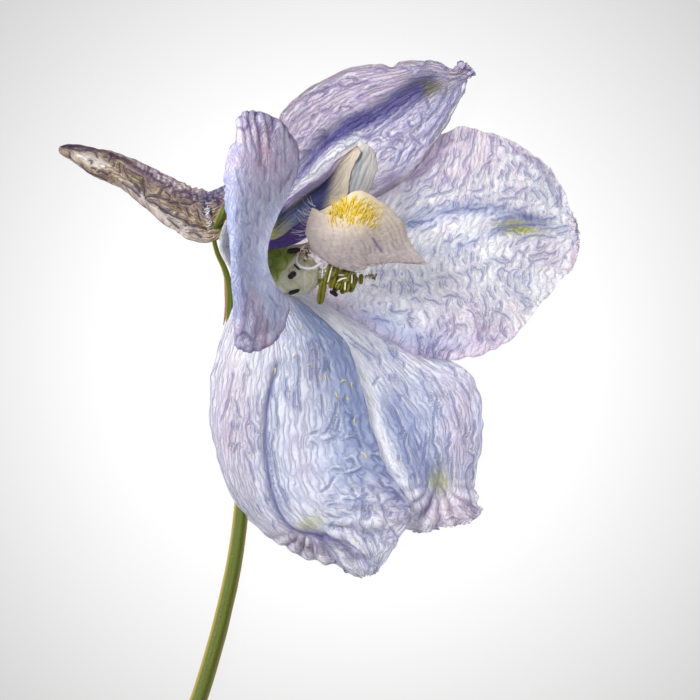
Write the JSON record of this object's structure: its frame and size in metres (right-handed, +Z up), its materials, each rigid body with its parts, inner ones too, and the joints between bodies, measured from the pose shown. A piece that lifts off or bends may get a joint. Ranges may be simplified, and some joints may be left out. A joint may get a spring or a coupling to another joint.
{
  "type": "delphinium flower",
  "caption": "Single delphinium floret on its cut stalk, lying on its side: folded hood with a long spur, broad crinkled sepals, bearded inner petals and a boss of stamens.",
  "frame": {"origin": "on the surface that the floret lies on, at the middle of its footprint", "axes": "+Z up from that surface; +Y from the cut end of the stalk towards the tip of the upper sepal; +X from the spur towards the far side sepal"},
  "size_m": [0.063, 0.0817, 0.0235],
  "materials": {
    "stalk": "smooth fleshy green stalk with golden brown flanks",
    "hood": "thin crinkled violet sepal, withering to tan along the spur",
    "sepal": "thin crinkled translucent lavender blue sepal",
    "blue_petal": "dark blue violet petal with a green foot",
    "cream_petal": "matt cream petal with fine veins",
    "stamen": "pale green filaments with olive anthers",
    "carpel": "smooth pale green follicles with brown styles"
  },
  "bodies": {
    "root": {"stem": "stalk", "upper_sepal_with_spur": "hood", "lateral_sepal_near": "sepal", "lateral_sepal_far": "sepal", "lower_sepal_near": "sepal", "lower_sepal_far": "sepal", "upper_petal_near": "blue_petal", "upper_petal_far": "cream_petal", "lower_petal_near": "cream_petal", "lower_petal_far": "cream_petal", "stamens": "stamen", "carpels": "carpel"}
  },
  "joints": []
}
